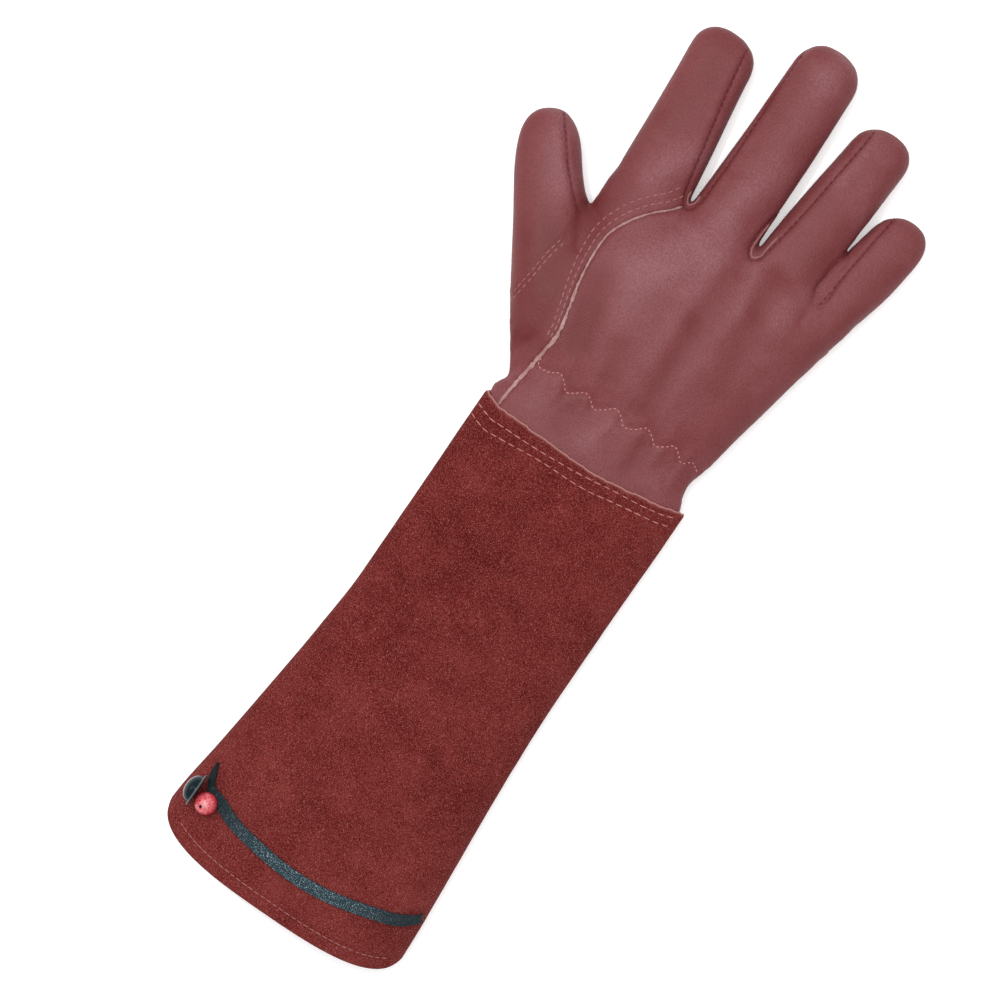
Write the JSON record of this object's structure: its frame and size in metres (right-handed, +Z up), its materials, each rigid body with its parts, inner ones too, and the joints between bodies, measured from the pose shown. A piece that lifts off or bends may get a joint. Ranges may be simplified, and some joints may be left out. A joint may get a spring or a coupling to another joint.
{
  "type": "pruning gauntlet",
  "caption": "Right-hand leather garden glove with a long flared suede cuff, palm patch, elastic strap, bead and button.",
  "frame": {"origin": "on the resting surface under the middle of the wrist, on the cuff's flat underside", "axes": "+X towards the little finger's side, +Y from the wrist to the fingertips, +Z up through the back of the hand"},
  "size_m": [0.1677, 0.4244, 0.0305],
  "materials": {
    "grain_leather": "satin",
    "suede": "matte",
    "welt_leather": "matte",
    "elastic": "matte",
    "bead_plastic": "gloss",
    "button_plastic": "gloss",
    "thread": "matte"
  },
  "bodies": {
    "root": {"hand_back": "grain_leather", "hand_palm": "grain_leather", "middle_finger_front": "grain_leather", "ring_finger_front": "grain_leather", "fourchette_index_middle": "grain_leather", "fourchette_middle_ring": "grain_leather", "fourchette_ring_little": "grain_leather", "thumb": "grain_leather", "palm_patch": "suede", "cuff": "suede", "back_welt": "welt_leather", "finger_welt": "welt_leather", "thumb_welt": "welt_leather", "elastic_strap": "elastic", "bead": "bead_plastic", "button": "button_plastic"}
  },
  "joints": []
}
